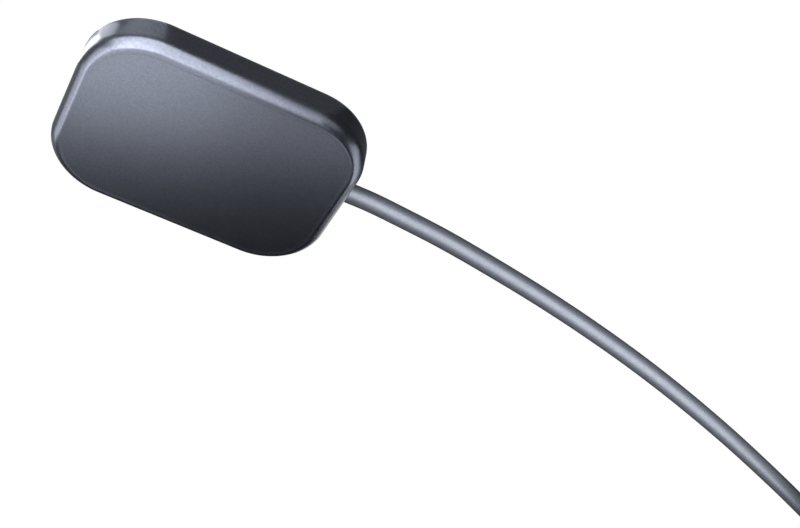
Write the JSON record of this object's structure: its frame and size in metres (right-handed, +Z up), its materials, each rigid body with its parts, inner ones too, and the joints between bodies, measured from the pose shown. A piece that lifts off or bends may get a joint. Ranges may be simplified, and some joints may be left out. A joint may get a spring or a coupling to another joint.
{
  "type": "intraoral x-ray sensor",
  "caption": "Flat rounded intraoral x-ray sensor with a low hump on its back and a thin round lead, coiled and ending in a flat computer plug.",
  "frame": {"origin": "under the middle of the sensor's outline, on the surface that its back hump and its lead lie on", "axes": "+X along the sensor towards its lead, +Y across it, +Z up out of its face"},
  "size_m": [0.2113, 0.0729, 0.0139],
  "materials": {
    "housing": "dark blue-grey satin anodising, smooth on the edges and finely speckled on the face",
    "rear_cover": "dark blue-grey satin anodising",
    "cover_seal": "matte",
    "cord_grommet": "matte",
    "cord_anchor": "matte moulding",
    "front_foam": "closed-cell foam",
    "scintillator": "pale satin crystal layer",
    "fibre_optic_plate": "polished dark glass",
    "image_sensor": "polished silicon",
    "sensor_carrier": "fired white ceramic",
    "stack_frame": "matte moulding",
    "radiation_shield": "rolled sheet",
    "circuit_board": "green solder mask",
    "processor_chip": "moulded package",
    "memory_chip": "moulded package",
    "clock_crystal": "metal can",
    "voltage_regulator": "moulded package",
    "capacitor": "fired ceramic",
    "thermal_pad": "soft matte pad",
    "wire_red": "insulated wire",
    "wire_black": "insulated wire",
    "wire_green": "insulated wire",
    "wire_white": "insulated wire",
    "lead_jacket": "blue-grey satin jacket",
    "coil_tie": "woven hook-and-loop band",
    "plug_relief": "ribbed, satin",
    "plug_grip": "satin moulding",
    "plug_shell": "nickel-plated sheet",
    "plug_insulator": "off-white moulding",
    "plug_contact": "gold-plated strip"
  },
  "bodies": {
    "root": {"housing": "housing", "rear_cover": "rear_cover", "cover_seal": "cover_seal", "cord_grommet": "cord_grommet", "cord_anchor": "cord_anchor", "front_foam": "front_foam", "scintillator": "scintillator", "fibre_optic_plate": "fibre_optic_plate", "image_sensor": "image_sensor", "sensor_carrier": "sensor_carrier", "stack_frame": "stack_frame", "radiation_shield": "radiation_shield", "circuit_board": "circuit_board", "processor_chip": "processor_chip", "memory_chip": "memory_chip", "clock_crystal": "clock_crystal", "voltage_regulator": "voltage_regulator", "thermal_pad": "thermal_pad", "wire_red": "wire_red", "wire_black": "wire_black", "wire_green": "wire_green", "wire_white": "wire_white", "coil_tie": "coil_tie", "plug_relief": "plug_relief", "plug_grip": "plug_grip", "plug_shell": "plug_shell", "plug_insulator": "plug_insulator", "capacitor_1": "capacitor", "capacitor_2": "capacitor", "capacitor_3": "capacitor", "capacitor_4": "capacitor", "plug_contact_1": "plug_contact", "plug_contact_2": "plug_contact", "plug_contact_3": "plug_contact", "plug_contact_4": "plug_contact", "sensor_cable": "lead_jacket", "cable_coil": "lead_jacket", "plug_lead": "lead_jacket"}
  },
  "joints": []
}
